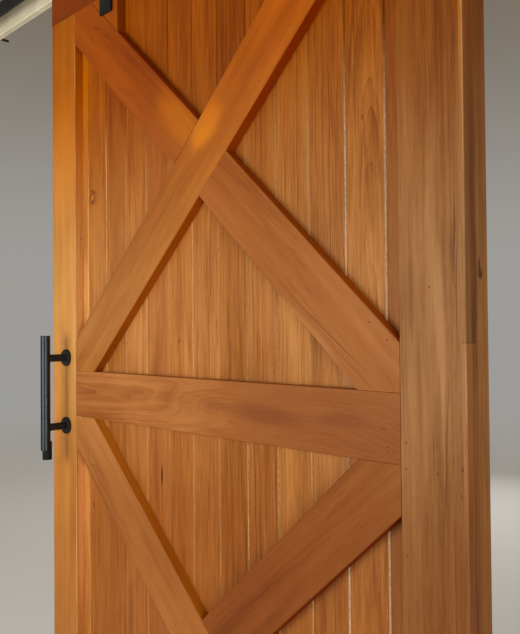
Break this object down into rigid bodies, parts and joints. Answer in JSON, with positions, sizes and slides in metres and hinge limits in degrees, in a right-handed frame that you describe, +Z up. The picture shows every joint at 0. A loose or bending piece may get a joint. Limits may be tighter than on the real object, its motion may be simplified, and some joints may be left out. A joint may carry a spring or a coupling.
{
  "type": "sliding barn door",
  "caption": "Sliding barn door with a framed leaf of tongue and groove boards and crossed braces, bar handle, strap hangers with grooved wheels, flat track, header board and floor guide.",
  "frame": {"origin": "on the floor, in the middle of the floor guide's base, on the leaf's mid-plane", "axes": "+X along the wall towards the side where the open door stands, +Y into the wall, +Z up; the room side faces -Y"},
  "size_m": [2.3006, 0.2045, 2.2483],
  "materials": {
    "frame_wood": "satin varnished honey-orange softwood",
    "board_wood": "satin varnished, each board its own tone",
    "brace_wood": "satin varnished honey-orange softwood",
    "packer_wood": "satin varnished",
    "lipping_wood": "satin varnished, darker",
    "header_paint": "cream satin paint",
    "bearing_steel": "bright",
    "wheel_plastic": "black, fine turned",
    "bumper_rubber": "black",
    "jump_block_plastic": "black",
    "foot_plastic": "matt black",
    "handle_metal": "smooth black satin",
    "track_metal": "black satin powder coat",
    "black_metal": "black satin powder coat"
  },
  "bodies": {
    "frame": {"header_board": "header_paint", "track": "track_metal", "track_spacers": "black_metal", "wall_bolts": "black_metal", "end_stop_left": "black_metal", "end_stop_right": "black_metal", "stop_screws": "black_metal", "stop_bumpers": "bumper_rubber", "floor_guide": "black_metal"},
    "leaf": {"axle_bolts": "black_metal", "axle_nuts": "black_metal", "axle_spacers": "black_metal", "board_01": "board_wood", "board_02": "board_wood", "board_03": "board_wood", "board_04": "board_wood", "board_05": "board_wood", "board_06": "board_wood", "board_07": "board_wood", "board_08": "board_wood", "board_09": "board_wood", "board_10": "board_wood", "board_11": "board_wood", "board_12": "board_wood", "board_13": "board_wood", "bottom_rail_back": "frame_wood", "bottom_rail_front": "frame_wood", "brace_lower_falling": "brace_wood", "brace_lower_rising": "brace_wood", "brace_upper_falling": "brace_wood", "brace_upper_rising": "brace_wood", "edge_lipping_lower": "lipping_wood", "edge_lipping_upper": "lipping_wood", "handle_bar": "handle_metal", "handle_bolts": "black_metal", "handle_foot": "foot_plastic", "handle_post_lower": "black_metal", "handle_post_upper": "black_metal", "handle_roses": "black_metal", "hanger_strap_left": "black_metal", "hanger_strap_right": "black_metal", "jump_block_left": "jump_block_plastic", "jump_block_right": "jump_block_plastic", "jump_screws": "black_metal", "mid_rail_back": "frame_wood", "mid_rail_front": "frame_wood", "packer_left": "packer_wood", "packer_right": "packer_wood", "stile_back_left": "frame_wood", "stile_back_right": "frame_wood", "stile_front_left": "frame_wood", "stile_front_right": "frame_wood", "strap_bolts": "black_metal", "strap_nuts": "black_metal", "top_rail_back": "frame_wood", "top_rail_front": "frame_wood"},
    "wheel_left": {"wheel_left": "wheel_plastic", "wheel_bearing_left": "bearing_steel"},
    "wheel_right": {"wheel_right": "wheel_plastic", "wheel_bearing_right": "bearing_steel"}
  },
  "joints": [
    {"name": "door_slide", "type": "slide", "parent": "frame", "child": "leaf", "axis": [1, 0, 0], "range_m": [-1.1, 0]},
    {"name": "wheel_left_spin", "type": "hinge", "parent": "leaf", "child": "wheel_left", "pos_m": [0.228, -0.02, 2.2043], "axis": [0, 1, 0], "continuous": true},
    {"name": "wheel_right_spin", "type": "hinge", "parent": "leaf", "child": "wheel_right", "pos_m": [0.872, -0.02, 2.2043], "axis": [0, 1, 0], "continuous": true}
  ],
  "couplings": [
    {"joint": "wheel_left_spin", "follows": "door_slide", "rad_per_m": 27.778},
    {"joint": "wheel_right_spin", "follows": "door_slide", "rad_per_m": 27.778}
  ]
}
